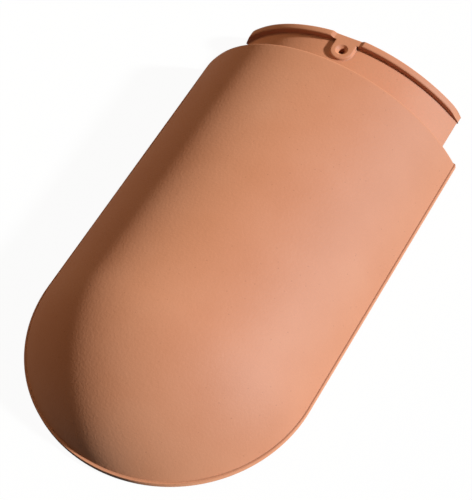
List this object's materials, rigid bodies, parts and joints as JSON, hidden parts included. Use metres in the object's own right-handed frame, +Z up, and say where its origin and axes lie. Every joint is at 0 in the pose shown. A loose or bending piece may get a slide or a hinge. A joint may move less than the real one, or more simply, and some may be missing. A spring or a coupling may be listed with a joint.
{
  "type": "clay hip starter tile",
  "caption": "Half-round clay hip starter roof tile with a domed closed foot, a set-down head spigot with a weather rim, and a nail lug with a countersunk hole.",
  "frame": {"origin": "centre of the bounding box on the plane of the base edges", "axes": "+Y along the tile from the domed foot to the head spigot, +X across to the right seen from the foot, +Z up out of the crest"},
  "size_m": [0.24, 0.408, 0.0807],
  "materials": {
    "terracotta": "matte fired clay, unglazed"
  },
  "bodies": {
    "root": {"hip_starter_tile": "terracotta"}
  },
  "joints": []
}
